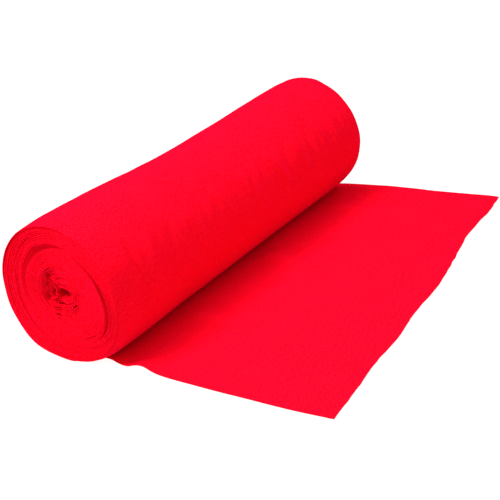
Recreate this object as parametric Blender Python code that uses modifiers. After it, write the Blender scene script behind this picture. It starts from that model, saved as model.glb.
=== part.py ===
"""Roll of red flannel, 0.60 m wide, lying on its side with a loose end drawn out over the floor.

Metres, +Z up. X is the way the loose end runs and Y is the roll's own axis, with the near end
at -Y. The origin is in the middle of the flat spot that the roll rests on.
"""
import math
from collections import namedtuple

import bmesh
import bpy

# Driving sizes.
CLOTH_WIDTH = 0.600          # the cloth's width, which is the roll's length
SHEET_THICKNESS = 0.0015     # one layer of flannel with its nap
CLEARANCE = 0.0006           # left between the loose end and the roll above it
NEAR_Y = -CLOTH_WIDTH / 2
FAR_Y = CLOTH_WIDTH / 2

# How finely the two solids are cut up.
ROLL_SIDES = 72
STATION_GAP = 0.03
LOOSE_RUNS = 34
LOOSE_LANES = 26
SHARP_EDGE = math.radians(40)

# The barrel, from the near end to the far end. A soft roll sags, so its sections differ:
#   y       place along the roll
#   radius  mean radius of the section
#   middle  how far the section's middle lies towards the loose end
#   height  height of the section's middle over the floor
#   slump   how much of the near end's slumped outline the section shows
Section = namedtuple("Section", "y radius middle height slump")
BARREL = (
    Section(-0.2985, 0.0915, -0.0012, 0.0950, 1.00),
    Section(-0.2900, 0.0938, -0.0010, 0.0938, 0.85),
    Section(-0.2750, 0.0957, -0.0006, 0.0926, 0.60),
    Section(-0.2500, 0.0966, -0.0005, 0.0920, 0.35),
    Section(-0.2000, 0.0957, 0.0002, 0.0913, 0.20),
    Section(-0.1000, 0.0932, 0.0014, 0.0893, 0.10),
    Section(0.0000, 0.0914, 0.0024, 0.0878, 0.10),
    Section(0.1000, 0.0911, 0.0024, 0.0879, 0.10),
    Section(0.2000, 0.0921, 0.0018, 0.0889, 0.15),
    Section(0.2800, 0.0928, 0.0011, 0.0896, 0.20),
    Section(0.2990, 0.0910, 0.0008, 0.0896, 0.25),
)

# The stretch of the roll that presses on the floor, and where the loose end comes out under it.
FLOOR_FROM_Y = -0.285
FLOOR_TO_Y = 0.285
NIP_STEP = math.radians(0.5)

# The near end's outline against a circle: angle from +X over the top, and how far it stands out.
Slump = namedtuple("Slump", "angle out")
SLUMP = (
    Slump(0, 0.0005),
    Slump(60, -0.0010),
    Slump(90, 0.0000),
    Slump(115, -0.0010),
    Slump(135, -0.0016),
    Slump(155, -0.0012),
    Slump(180, 0.0014),
    Slump(205, 0.0058),
    Slump(228, 0.0096),
    Slump(250, 0.0052),
    Slump(280, 0.0010),
    Slump(320, 0.0020),
    Slump(360, 0.0005),
)

# The wound ends, ring by ring inwards. The outer band of turns sits a little loose round the
# inner ones, so a step shows between them, deep only along part of the round:
#   reach    share of the outline's radius
#   across   place of the ring's middle towards the loose end
#   up       height of the ring's middle over the floor
#   sunk     how far the ring lies inside the end plane all round
#   step     how much of the loose step's depth it takes
EndRing = namedtuple("EndRing", "reach across up sunk step")
NEAR_END = (
    EndRing(0.985, -0.0010, 0.0946, 0.0004, 0.00),
    EndRing(0.950, -0.0008, 0.0947, 0.0000, 0.00),
    EndRing(0.860, 0.0010, 0.0952, 0.0012, 0.00),
    EndRing(0.775, 0.0040, 0.0958, 0.0008, 0.00),
    EndRing(0.752, 0.0050, 0.0960, 0.0010, 0.10),
    EndRing(0.742, 0.0052, 0.0960, 0.0040, 1.00),
    EndRing(0.722, 0.0054, 0.0960, 0.0040, 1.00),
    EndRing(0.700, 0.0055, 0.0960, 0.0016, 0.25),
    EndRing(0.560, 0.0050, 0.0960, 0.0020, 0.05),
    EndRing(0.380, 0.0040, 0.0956, 0.0030, 0.00),
    EndRing(0.240, 0.0028, 0.0952, 0.0052, 0.00),
    EndRing(0.160, 0.0022, 0.0950, 0.0100, 0.00),
    EndRing(0.110, 0.0020, 0.0950, 0.0220, 0.00),
    EndRing(0.050, 0.0020, 0.0950, 0.0280, 0.00),
)
FAR_END = (
    EndRing(0.980, 0.0008, 0.0893, 0.0002, 0.00),
    EndRing(0.940, 0.0008, 0.0894, 0.0000, 0.00),
    EndRing(0.820, 0.0010, 0.0898, 0.0014, 0.00),
    EndRing(0.660, 0.0014, 0.0904, 0.0010, 0.00),
    EndRing(0.640, 0.0014, 0.0904, 0.0038, 0.40),
    EndRing(0.615, 0.0014, 0.0904, 0.0022, 0.10),
    EndRing(0.420, 0.0016, 0.0908, 0.0030, 0.00),
    EndRing(0.220, 0.0018, 0.0910, 0.0056, 0.00),
    EndRing(0.140, 0.0020, 0.0910, 0.0120, 0.00),
    EndRing(0.060, 0.0020, 0.0910, 0.0240, 0.00),
)

# The far selvages of the turns wander along the roll: how far out they stand, by angle.
Wander = namedtuple("Wander", "angle out")
FAR_WANDER = (
    Wander(0, -0.0004),
    Wander(35, -0.0026),
    Wander(60, 0.0004),
    Wander(78, 0.0040),
    Wander(100, 0.0022),
    Wander(150, -0.0006),
    Wander(220, 0.0006),
    Wander(300, -0.0008),
    Wander(360, -0.0004),
)
WANDER_FROM_Y = 0.24

# The depth of that step by angle: deep at the upper left and along the right-hand side.
Step = namedtuple("Step", "angle depth")
STEP = (
    Step(0, 0.0070),
    Step(35, 0.0060),
    Step(60, 0.0010),
    Step(85, 0.0030),
    Step(115, 0.0080),
    Step(145, 0.0040),
    Step(180, 0.0010),
    Step(225, 0.0006),
    Step(290, 0.0008),
    Step(325, 0.0050),
    Step(360, 0.0070),
)

# The core is no round hole but a crumpled one, long across and leaning down to the right.
CORE_REACH = 0.34
CORE_FADE = 0.20
CORE_STRETCH = 0.46
CORE_LEAN = math.radians(-24)
CORE_LOBES = 3
CORE_LOBE_SIZE = 0.16

# The loose end's edges, drawn on the floor. The two selvages give y against x, and the cut edge
# gives x against the share of the width from the near selvage to the far one.
Selvage = namedtuple("Selvage", "x y")
NEAR_SELVAGE = (
    Selvage(0.0325, -0.2790),
    Selvage(0.0420, -0.2820),
    Selvage(0.0600, -0.2910),
    Selvage(0.0800, -0.2850),
    Selvage(0.1050, -0.2880),
    Selvage(0.1500, -0.2985),
    Selvage(0.2000, -0.3040),
    Selvage(0.2500, -0.3095),
    Selvage(0.3850, -0.3200),
)
FAR_SELVAGE = (
    Selvage(0.0300, 0.3080),
    Selvage(0.1000, 0.3075),
    Selvage(0.1500, 0.3035),
    Selvage(0.2000, 0.2965),
    Selvage(0.2500, 0.2930),
    Selvage(0.3130, 0.2890),
)
CutEdge = namedtuple("CutEdge", "share x")
CUT_EDGE = (
    CutEdge(0.00, 0.3850),
    CutEdge(0.06, 0.3808),
    CutEdge(0.14, 0.3745),
    CutEdge(0.22, 0.3693),
    CutEdge(0.30, 0.3678),
    CutEdge(0.38, 0.3593),
    CutEdge(0.52, 0.3530),
    CutEdge(0.68, 0.3370),
    CutEdge(0.80, 0.3235),
    CutEdge(0.92, 0.3195),
    CutEdge(1.00, 0.3130),
)

# Where the loose end lifts off the floor: a place, its reach along and across, and its height.
# Close to the roll the lifts fade out, so that the cloth slips in under the barrel.
LIFT_FADE = 0.03
Lift = namedtuple("Lift", "x y along across height")
LIFTS = (
    Lift(0.080, -0.290, 0.016, 0.060, 0.0030),
    Lift(0.120, 0.257, 0.016, 0.030, 0.0020),
    Lift(0.132, 0.162, 0.014, 0.028, 0.0016),
    Lift(0.230, 0.292, 0.060, 0.024, 0.0016),
    Lift(0.355, -0.110, 0.020, 0.030, 0.0022),
    Lift(0.325, 0.180, 0.018, 0.040, 0.0014),
)

RED_FLANNEL = (0.80, 0.0, 0.018, 1.0)
FLANNEL_ROUGHNESS = 0.95


def smooth_read(rows, value):
    """Read a table's second column at a value of its first one, on a smooth curve through it."""
    if value <= rows[0][0]:
        return rows[0][1]
    if value >= rows[-1][0]:
        return rows[-1][1]
    for i in range(len(rows) - 1):
        if value <= rows[i + 1][0]:
            break
    before = rows[max(i - 1, 0)]
    here = rows[i]
    there = rows[i + 1]
    after = rows[min(i + 2, len(rows) - 1)]
    span = there[0] - here[0]
    rise_here = (there[1] - before[1]) / (there[0] - before[0]) * span
    rise_there = (after[1] - here[1]) / (after[0] - here[0]) * span
    t = (value - here[0]) / span
    t2 = t * t
    t3 = t2 * t
    return ((2 * t3 - 3 * t2 + 1) * here[1] + (t3 - 2 * t2 + t) * rise_here
            + (3 * t2 - 2 * t3) * there[1] + (t3 - t2) * rise_there)


def section_at(y):
    """The barrel's section at a place along the roll."""
    columns = []
    for name in ("radius", "middle", "height", "slump"):
        rows = [(row.y, getattr(row, name)) for row in BARREL]
        columns.append(smooth_read(rows, y))
    return Section(y, *columns)


def outline_radius(section, angle):
    """The section's radius at an angle, with its share of the slumped outline."""
    out = smooth_read(SLUMP, math.degrees(angle) % 360)
    return section.radius + section.slump * out


def far_wander(y, angle):
    """How far a turn's far selvage wanders out, growing towards the far end."""
    share = max(0.0, (y - WANDER_FROM_Y) / (FAR_Y - WANDER_FROM_Y))
    return share * share * smooth_read(FAR_WANDER, math.degrees(angle) % 360)


def barrel_point(section, angle):
    """A point of the barrel, pressed flat where it meets the floor."""
    radius = outline_radius(section, angle)
    x = section.middle + radius * math.cos(angle)
    z = section.height + radius * math.sin(angle)
    return x, section.y + far_wander(section.y, angle), max(z, 0.0)


def crumple(reach, angle):
    """How far a ring near the core stands out at an angle, as a share of its radius."""
    share = min(1.0, max(0.0, (CORE_REACH - reach) / CORE_FADE))
    turned = angle - CORE_LEAN
    lobes = CORE_STRETCH * math.cos(2 * turned) + CORE_LOBE_SIZE * math.sin(CORE_LOBES * turned)
    return 1 + share * lobes


def end_point(section, ring, angle, end_y, inwards):
    """A point of a wound end, stepped in where the outer turns sit loose."""
    radius = ring.reach * outline_radius(section, angle) * crumple(ring.reach, angle)
    x = ring.across + radius * math.cos(angle)
    z = ring.up + radius * math.sin(angle)
    sunk = ring.sunk + ring.step * smooth_read(STEP, math.degrees(angle) % 360)
    y = end_y + inwards * sunk + ring.reach * far_wander(end_y, angle)
    return x, y, max(z, 0.0)


def ring_angles():
    """The angles round the roll. One point is straight down, so the flat spot is even."""
    turn = 2 * math.pi / ROLL_SIDES
    return [-math.pi / 2 + turn * i for i in range(ROLL_SIDES)]


def barrel_stations():
    """Places along the barrel: those of its table, with wide gaps between them split evenly."""
    stations = [BARREL[0].y]
    for row, after in zip(BARREL, BARREL[1:]):
        gap = after.y - row.y
        count = math.ceil(gap / STATION_GAP)
        stations += [row.y + gap * i / count for i in range(1, count + 1)]
    return stations


def roll_rings():
    """All the rings of the roll, from the near core over the barrel to the far core."""
    angles = ring_angles()
    near = section_at(BARREL[0].y)
    far = section_at(BARREL[-1].y)
    rings = []
    for ring in reversed(NEAR_END):
        rings.append([end_point(near, ring, angle, NEAR_Y, 1) for angle in angles])
    for y in barrel_stations():
        section = section_at(y)
        rings.append([barrel_point(section, angle) for angle in angles])
    for ring in FAR_END:
        rings.append([end_point(far, ring, angle, FAR_Y, -1) for angle in angles])
    return rings


def loft(name, rings):
    """Join rings of points into one closed body, with a flat face at each end."""
    mesh = bpy.data.meshes.new(name)
    shape = bmesh.new()
    loops = [[shape.verts.new(point) for point in ring] for ring in rings]
    count = len(loops[0])
    for one, other in zip(loops, loops[1:]):
        for i in range(count):
            j = (i + 1) % count
            shape.faces.new((one[i], one[j], other[j], other[i]))
    shape.faces.new(list(reversed(loops[0])))
    shape.faces.new(loops[-1])
    bmesh.ops.recalc_face_normals(shape, faces=shape.faces)
    shape.to_mesh(mesh)
    shape.free()
    return bpy.data.objects.new(name, mesh)


def nip_x(y):
    """Where the loose end comes out from under the barrel: the first place high enough for it."""
    section = section_at(min(max(y, FLOOR_FROM_Y), FLOOR_TO_Y))
    angle = -math.pi / 2
    x, _, z = barrel_point(section, angle)
    while z < SHEET_THICKNESS + CLEARANCE:
        angle += NIP_STEP
        x, _, z = barrel_point(section, angle)
    return x


def lift_at(x, y):
    """How far the loose end stands off the floor."""
    height = 0.0
    for lift in LIFTS:
        off = ((x - lift.x) / lift.along) ** 2 + ((y - lift.y) / lift.across) ** 2
        height += lift.height * math.exp(-off)
    return height


def loose_point(run, lane):
    """A point of the loose end, from its share along the run and its share of the width."""
    start = nip_x(NEAR_SELVAGE[0].y + (FAR_SELVAGE[0].y - NEAR_SELVAGE[0].y) * lane)
    stop = smooth_read(CUT_EDGE, lane)
    x = start + (stop - start) * run
    near = smooth_read(NEAR_SELVAGE, x)
    far = smooth_read(FAR_SELVAGE, x)
    y = near + (far - near) * lane
    clear_of_roll = min(1.0, max(0.0, (x - start) / LIFT_FADE))
    return x, y, lift_at(x, y) * clear_of_roll


def loose_end(name):
    """The loose end: a sheet in its outline and ripples, thickened upwards."""
    mesh = bpy.data.meshes.new(name)
    shape = bmesh.new()
    bmesh.ops.create_grid(shape, x_segments=LOOSE_RUNS, y_segments=LOOSE_LANES, size=0.5)
    for vert in shape.verts:
        vert.co = loose_point(vert.co.x + 0.5, vert.co.y + 0.5)
    bmesh.ops.recalc_face_normals(shape, faces=shape.faces)
    if sum(face.normal.z for face in shape.faces) < 0:
        bmesh.ops.reverse_faces(shape, faces=shape.faces)
    shape.to_mesh(mesh)
    shape.free()
    sheet = bpy.data.objects.new(name, mesh)
    thickness = sheet.modifiers.new("Cloth thickness", "SOLIDIFY")
    thickness.thickness = SHEET_THICKNESS
    thickness.offset = 1.0
    return sheet


def flannel():
    """Napped red cotton, quite without shine."""
    material = bpy.data.materials.new("Red flannel")
    material.use_nodes = True
    shader = material.node_tree.nodes["Principled BSDF"]
    shader.inputs["Base Color"].default_value = RED_FLANNEL
    shader.inputs["Roughness"].default_value = FLANNEL_ROUGHNESS
    shader.inputs["Metallic"].default_value = 0.0
    return material


def main():
    for thing in list(bpy.data.objects):
        bpy.data.objects.remove(thing)
    cloth = bpy.data.collections.new("Flannel roll")
    bpy.context.scene.collection.children.link(cloth)
    material = flannel()
    roll = loft("wound_roll", roll_rings())
    loose = loose_end("loose_end")
    for piece in (roll, loose):
        piece.data.materials.append(material)
        piece.data.shade_smooth()
        piece.data.set_sharp_from_angle(angle=SHARP_EDGE)
        cloth.objects.link(piece)


main()
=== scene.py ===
"""A soft roll of red napped flannel, its loose end drawn out flat over a pale studio floor.

The cloth is one long sheet, modelled as it lies: the loose end runs in under the roll and becomes
the outer turn, which winds on inwards for some eighty turns to a crumpled, hollow core. Metres,
+Z up; X is the way the loose end runs, Y is the roll's axis with the near end at -Y.
"""
import math
from collections import namedtuple

import bpy
import numpy as np
from bpy.props import FloatProperty, FloatVectorProperty, IntProperty, PointerProperty
from mathutils import Matrix, Vector


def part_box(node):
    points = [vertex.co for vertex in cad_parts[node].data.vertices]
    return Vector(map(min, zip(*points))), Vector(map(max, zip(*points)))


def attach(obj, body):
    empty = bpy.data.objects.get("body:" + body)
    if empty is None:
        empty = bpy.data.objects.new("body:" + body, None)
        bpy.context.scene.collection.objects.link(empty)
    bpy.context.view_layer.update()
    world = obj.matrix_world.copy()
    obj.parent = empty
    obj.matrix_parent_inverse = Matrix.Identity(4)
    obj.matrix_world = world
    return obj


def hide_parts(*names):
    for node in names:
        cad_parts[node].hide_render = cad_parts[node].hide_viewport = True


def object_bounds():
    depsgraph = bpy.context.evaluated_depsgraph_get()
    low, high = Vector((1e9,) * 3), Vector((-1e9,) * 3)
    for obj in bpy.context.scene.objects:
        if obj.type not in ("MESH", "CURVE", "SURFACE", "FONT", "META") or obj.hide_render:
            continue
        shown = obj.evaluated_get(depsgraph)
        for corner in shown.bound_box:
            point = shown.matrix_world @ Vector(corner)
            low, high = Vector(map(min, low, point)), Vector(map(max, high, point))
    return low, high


bl_info = {
    "name": "Flannel Roll",
    "version": (1, 0, 0),
    "blender": (4, 5, 0),
    "location": "View3D > Sidebar > Flannel Roll",
    "description": "Builds a wound roll of napped flannel with its loose end, in a pale studio",
    "category": "Object",
}

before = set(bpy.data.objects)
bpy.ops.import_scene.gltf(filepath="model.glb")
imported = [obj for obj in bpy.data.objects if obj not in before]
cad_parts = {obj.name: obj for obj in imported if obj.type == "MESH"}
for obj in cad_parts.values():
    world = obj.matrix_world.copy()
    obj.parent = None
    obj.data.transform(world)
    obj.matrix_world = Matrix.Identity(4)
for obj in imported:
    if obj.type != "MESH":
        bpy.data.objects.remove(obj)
CAD_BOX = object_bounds()
ROLL_LOW, ROLL_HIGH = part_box("wound_roll")
LOOSE_LOW, LOOSE_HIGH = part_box("loose_end")

NEAR_Y = ROLL_LOW[1]
FAR_Y = -NEAR_Y
ROLL_RADIUS = (ROLL_HIGH[0] - ROLL_LOW[0]) / 2 - 0.005
CLOTH_UV = "ClothRun"

# Where the cloth is cut into pieces for the mesh, in turns from the nip.
OUTER_TURNS = 1.2
SLACK_TURNS = 25.5

# The barrel's sections, from the near end to the far end: mean radius, the middle's place
# towards the loose end and over the floor, and the share of the near end's slumped outline.
Section = namedtuple("Section", "y radius middle height slump")
BARREL = (
    Section(-0.2985, 0.0915, -0.0012, 0.0950, 1.00),
    Section(-0.2900, 0.0938, -0.0010, 0.0938, 0.85),
    Section(-0.2750, 0.0957, -0.0006, 0.0926, 0.60),
    Section(-0.2500, 0.0966, -0.0005, 0.0920, 0.35),
    Section(-0.2000, 0.0957, 0.0002, 0.0913, 0.20),
    Section(-0.1000, 0.0932, 0.0014, 0.0893, 0.10),
    Section(0.0000, 0.0914, 0.0024, 0.0878, 0.10),
    Section(0.1000, 0.0911, 0.0024, 0.0879, 0.10),
    Section(0.2000, 0.0921, 0.0018, 0.0889, 0.15),
    Section(0.2800, 0.0928, 0.0011, 0.0896, 0.20),
    Section(0.2990, 0.0910, 0.0008, 0.0896, 0.25),
)

# The near end's outline against a circle: degrees from +X over the top, and how far it stands out.
Slump = namedtuple("Slump", "angle out")
SLUMP = (
    Slump(0, 0.0005),
    Slump(60, -0.0010),
    Slump(90, 0.0008),
    Slump(115, 0.0008),
    Slump(135, 0.0002),
    Slump(155, 0.0006),
    Slump(180, 0.0030),
    Slump(205, 0.0074),
    Slump(228, 0.0112),
    Slump(250, 0.0052),
    Slump(275, 0.0030),
    Slump(300, 0.0046),
    Slump(325, 0.0032),
    Slump(360, 0.0005),
)

# How far the middle of the turns lies off the roll's own, by their share of the radius. The inner
# turns lie towards the loose end, so the outer ones are slack at the left.
Drift = namedtuple("Drift", "level across up")
DRIFT = (
    Drift(0.00, -0.0030, -0.0046),
    Drift(0.12, -0.0022, -0.0040),
    Drift(0.25, 0.0014, -0.0016),
    Drift(0.50, 0.0058, 0.0004),
    Drift(0.735, 0.0067, 0.0010),
    Drift(0.86, 0.0030, 0.0006),
    Drift(0.95, 0.0004, 0.0000),
    Drift(1.00, 0.0000, 0.0000),
)

# The turns lie closer together at the lower right, under the weight: how far the middle ones stand
# out from their even places there, by the angle round the roll, and the levels between which they
# start to and do so the most.
Bunch = namedtuple("Bunch", "angle out")
BUNCHED = (
    Bunch(0, 0.0050),
    Bunch(25, 0.0012),
    Bunch(55, -0.0030),
    Bunch(90, -0.0010),
    Bunch(125, 0.0),
    Bunch(250, 0.0),
    Bunch(275, 0.0010),
    Bunch(300, 0.0050),
    Bunch(325, 0.0080),
    Bunch(345, 0.0072),
    Bunch(360, 0.0050),
)
BUNCHED_FROM = 0.30
BUNCHED_LEVEL = 0.74

# The wound ends: how far the selvages lie inside the end plane, and how much of the loose step's
# depth they take, by the turns' share of the radius.
EndFace = namedtuple("EndFace", "level near_sunk far_sunk step")
END_FACE = (
    EndFace(0.08, 0.0085, 0.0090, 0.00),
    EndFace(0.14, 0.0060, 0.0070, 0.00),
    EndFace(0.24, 0.0032, 0.0045, 0.00),
    EndFace(0.38, 0.0022, 0.0030, 0.00),
    EndFace(0.56, 0.0012, 0.0022, 0.10),
    EndFace(0.64, 0.0010, 0.0020, 0.50),
    EndFace(0.690, 0.0008, 0.0012, 0.95),
    EndFace(0.722, 0.0008, 0.0010, 1.00),
    EndFace(0.733, 0.0006, 0.0010, 0.30),
    EndFace(0.745, 0.0004, 0.0010, 0.00),
    EndFace(0.775, 0.0004, 0.0012, 0.00),
    EndFace(0.790, 0.0012, 0.0014, 0.00),
    EndFace(0.860, 0.0010, 0.0014, 0.00),
    EndFace(0.960, 0.0004, 0.0004, 0.00),
    EndFace(1.000, 0.0004, 0.0000, 0.00),
)

# The depth of that step by angle: the inner turns lie deep at the upper left, and stand out a
# little along the right-hand side.
Step = namedtuple("Step", "angle depth")
STEP = (
    Step(0, -0.0030),
    Step(35, -0.0026),
    Step(62, -0.0010),
    Step(85, 0.0028),
    Step(112, 0.0062),
    Step(135, 0.0046),
    Step(160, 0.0015),
    Step(200, 0.0008),
    Step(250, 0.0002),
    Step(300, -0.0006),
    Step(330, -0.0020),
    Step(360, -0.0030),
)

# The far selvages wander along the roll: how far out they stand, by angle.
Wander = namedtuple("Wander", "angle out")
FAR_WANDER = (
    Wander(0, -0.0004),
    Wander(35, -0.0026),
    Wander(60, 0.0004),
    Wander(78, 0.0040),
    Wander(100, 0.0022),
    Wander(150, -0.0006),
    Wander(220, 0.0006),
    Wander(300, -0.0008),
    Wander(360, -0.0004),
)

# Places where one turn stands off the next: the turn, the middle of the gap and its half-length
# in degrees, and its width. The turns further in take a gap up, from some turns in to some more,
# and over more of them the wider it is.
Gap = namedtuple("Gap", "turn angle half_length width")
GAPS = (
    Gap(0, 105, 90, 0.0009),
    Gap(0, 8, 85, 0.0010),
    Gap(2, 190, 62, 0.0006),
    Gap(4, 165, 55, 0.0009),
    Gap(6, 205, 48, 0.0006),
    Gap(8, 176, 60, 0.0010),
    Gap(11, 150, 46, 0.0007),
    Gap(13, 192, 55, 0.0010),
    Gap(16, 170, 52, 0.0008),
    Gap(19, 186, 60, 0.0009),
    Gap(22, 128, 44, 0.0006),
    Gap(24, 8, 66, 0.0052),
    Gap(26, 225, 50, 0.0011),
    Gap(25, 185, 40, 0.0009),
    Gap(29, 300, 17, 0.0007),
    Gap(47, 172, 24, 0.0018),
    Gap(51, 120, 12, 0.0012),
    Gap(52, 74, 16, 0.0013),
    Gap(67, 318, 13, 0.0024),
    Gap(70, 202, 26, 0.0030),
    Gap(73, 175, 40, 0.0030),
)
TAKEN_UP_FROM = 3
TAKEN_UP_BY = 5
TURNS_FOR_WIDTH = 4000

# The share of a stretch of angles, from its middle, before it starts to fade.
WINDOW_FLAT = 0.45

# Short gaps among the crumpled turns at the left of the core: how many, and the least and the
# most of each size.
CRUMPLE_GAPS = 38
CRUMPLE_FROM = Gap(44, 155, 6, 0.0011)
CRUMPLE_TO = Gap(70, 255, 14, 0.0026)

# The hollow of the core: how far it reaches from its middle, by angle, at its own level. The
# turns' outline goes from the hollow's to the roll's over the core's levels, and the hollow closes
# by a share of its reach, between two distances from the ends.
Hollow = namedtuple("Hollow", "angle reach")
HOLLOW = (
    Hollow(0, 0.0110),
    Hollow(12, 0.0120),
    Hollow(40, 0.0090),
    Hollow(75, 0.0085),
    Hollow(112, 0.0105),
    Hollow(131, 0.0190),
    Hollow(148, 0.0135),
    Hollow(175, 0.0155),
    Hollow(200, 0.0170),
    Hollow(240, 0.0090),
    Hollow(280, 0.0085),
    Hollow(320, 0.0125),
    Hollow(345, 0.0110),
    Hollow(360, 0.0110),
)
HOLLOW_LEVEL = 0.10
CORE_LEVELS = (0.06, 0.40)
HOLLOW_CLOSED = 0.45
HOLLOW_CLOSES = (0.05, 0.15)

# The crumpling round the core: the levels over which it dies out, the share that the tidier right
# side keeps, how far it sinks the selvages, how much thinner it wears the cloth, and its folds.
CRUMPLED_LEVELS = (0.18, 0.44)
CRUMPLED_RIGHT = 0.35
CRUMPLED_SUNK = 0.0050
CRUMPLED_THINNER = 0.45
CRUMPLED_FOLDS = 0.0014
CRUMPLE_SEED = 7

# How uneven the wound ends are, as depths: soft dents over each end and their size, the selvages'
# own raggedness, the rings that stand in, mostly on the slack left side, and the outer turn's far
# selvage.
DENT_SIZE = 0.022
NEAR_DENTS = 0.0004
NEAR_RAGGED = 0.0002
FAR_DENTS = 0.0005
FAR_RAGGED = 0.0003
FAR_OUTER_RAGGED = 0.0011
RINGS_SUNK = 0.0013
RINGS_RIGHT = 0.35
RING_SIZE = 0.0045

# Stretches round the roll, each a middle and a half-length in degrees: where the turns are slack,
# where the core is crumpled, the outer turn's right side, the top, the lower left, and where the
# far end's rings and the puckers show.
SLACK_SIDE = (175, 120)
CRUMPLED_SIDE = (190, 110)
RIGHT_SIDE = (10, 85)
TOP_SIDE = (85, 102)
LOWER_LEFT = (225, 75)
RINGED_SIDE = (2, 44)
PUCKERED_SIDE = (6, 40)

# How far the near selvage stands in at the rim: of the outer turn's right side, of the turns under
# it at the top, from some turn to a later one, and of the outermost levels at the lower left.
OUTER_RIGHT_SUNK = 0.0012
UNDER_RIM_SUNK = 0.0018
UNDER_RIM_STARTS = (0.9, 1.2)
UNDER_RIM_STOPS = (2.5, 7.0)
RIM_SUNK = 0.0006
RIM_LEVELS = (0.962, 1.0)

# The turns under the outer one lie lower, from some way inside the ends, to leave room for its
# relief. The relief itself starts clear of the nip and stops before the turn's own end, and the
# outer turn gives way to the next over some of the winding, in turns.
HIDDEN_LOWER = 0.0018
HIDDEN_INSIDE = (0.008, 0.05)
RELIEF_STARTS = (0.02, 0.14)
RELIEF_STOPS = (0.90, 1.0)
OUTER_STOPS = (0.9, 1.1)

# From the nip, the turn's share over which the loose end's selvages go over to the roll's.
SETTLES_OVER = 0.05

# The loose end's edges on the floor: the selvages give y against x, and the cut edge gives x
# against the share of the width from the near selvage to the far one.
Selvage = namedtuple("Selvage", "x y")
NEAR_SELVAGE = (
    Selvage(0.0325, -0.2795),
    Selvage(0.0433, -0.2815),
    Selvage(0.0540, -0.2855),
    Selvage(0.0690, -0.2892),
    Selvage(0.0869, -0.2878),
    Selvage(0.1000, -0.2882),
    Selvage(0.1085, -0.2906),
    Selvage(0.1240, -0.2953),
    Selvage(0.1457, -0.2996),
    Selvage(0.1882, -0.3046),
    Selvage(0.2254, -0.3085),
    Selvage(0.2610, -0.3116),
    Selvage(0.3288, -0.3178),
    Selvage(0.3860, -0.3203),
)
FAR_SELVAGE = (
    Selvage(0.0300, 0.3095),
    Selvage(0.0900, 0.3100),
    Selvage(0.1255, 0.3098),
    Selvage(0.1444, 0.3078),
    Selvage(0.1812, 0.3024),
    Selvage(0.1996, 0.2990),
    Selvage(0.2339, 0.2958),
    Selvage(0.2677, 0.2940),
    Selvage(0.3004, 0.2926),
    Selvage(0.3150, 0.2900),
)
CutEdge = namedtuple("CutEdge", "share x")
CUT_EDGE = (
    CutEdge(0.000, 0.3855),
    CutEdge(0.035, 0.3830),
    CutEdge(0.076, 0.3803),
    CutEdge(0.118, 0.3774),
    CutEdge(0.162, 0.3741),
    CutEdge(0.206, 0.3706),
    CutEdge(0.254, 0.3699),
    CutEdge(0.290, 0.3697),
    CutEdge(0.327, 0.3672),
    CutEdge(0.376, 0.3620),
    CutEdge(0.428, 0.3582),
    CutEdge(0.483, 0.3560),
    CutEdge(0.525, 0.3543),
    CutEdge(0.568, 0.3501),
    CutEdge(0.626, 0.3440),
    CutEdge(0.687, 0.3368),
    CutEdge(0.749, 0.3289),
    CutEdge(0.800, 0.3256),
    CutEdge(0.850, 0.3235),
    CutEdge(0.900, 0.3221),
    CutEdge(0.940, 0.3198),
    CutEdge(1.000, 0.3146),
)

# Where the loose end lifts off the floor: a place, its reach along and across, and its height. The
# lifts fade in from the nip. Between them are low swells, and the cut edge is a little ragged.
Lift = namedtuple("Lift", "x y along across height")
LIFTS = (
    Lift(0.092, -0.288, 0.014, 0.055, 0.0026),
    Lift(0.120, 0.257, 0.016, 0.030, 0.0020),
    Lift(0.132, 0.162, 0.014, 0.028, 0.0014),
    Lift(0.230, 0.292, 0.060, 0.024, 0.0010),
    Lift(0.358, -0.105, 0.020, 0.030, 0.0012),
    Lift(0.325, 0.180, 0.018, 0.040, 0.0010),
)
LIFT_FADE = 0.03
LOOSE_SWELLS = 0.0004
CUT_RAGGED = 0.0006

# Creases of the loose end, from one place to another, with a width and a height. Each dies out
# over some way beyond its ends.
CREASE_FADE = 0.012
Crease = namedtuple("Crease", "x y to_x to_y width height")
CREASES = (
    Crease(0.092, 0.284, 0.125, 0.260, 0.0026, 0.0028),
    Crease(0.125, 0.260, 0.155, 0.250, 0.0026, 0.0024),
    Crease(0.150, 0.251, 0.300, 0.236, 0.0040, 0.0014),
    Crease(0.118, 0.162, 0.146, 0.152, 0.0026, 0.0026),
    Crease(0.096, -0.055, 0.120, -0.060, 0.0040, 0.0016),
    Crease(0.050, 0.085, 0.085, 0.050, 0.0060, 0.0014),
    Crease(0.072, -0.292, 0.088, -0.225, 0.0060, -0.0012),
    Crease(0.085, 0.215, 0.150, 0.205, 0.0130, 0.0046),
    Crease(0.070, 0.130, 0.130, 0.115, 0.0100, -0.0012),
    Crease(0.080, 0.030, 0.150, 0.012, 0.0160, 0.0046),
    Crease(0.085, -0.150, 0.150, -0.165, 0.0140, 0.0044),
)

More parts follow.
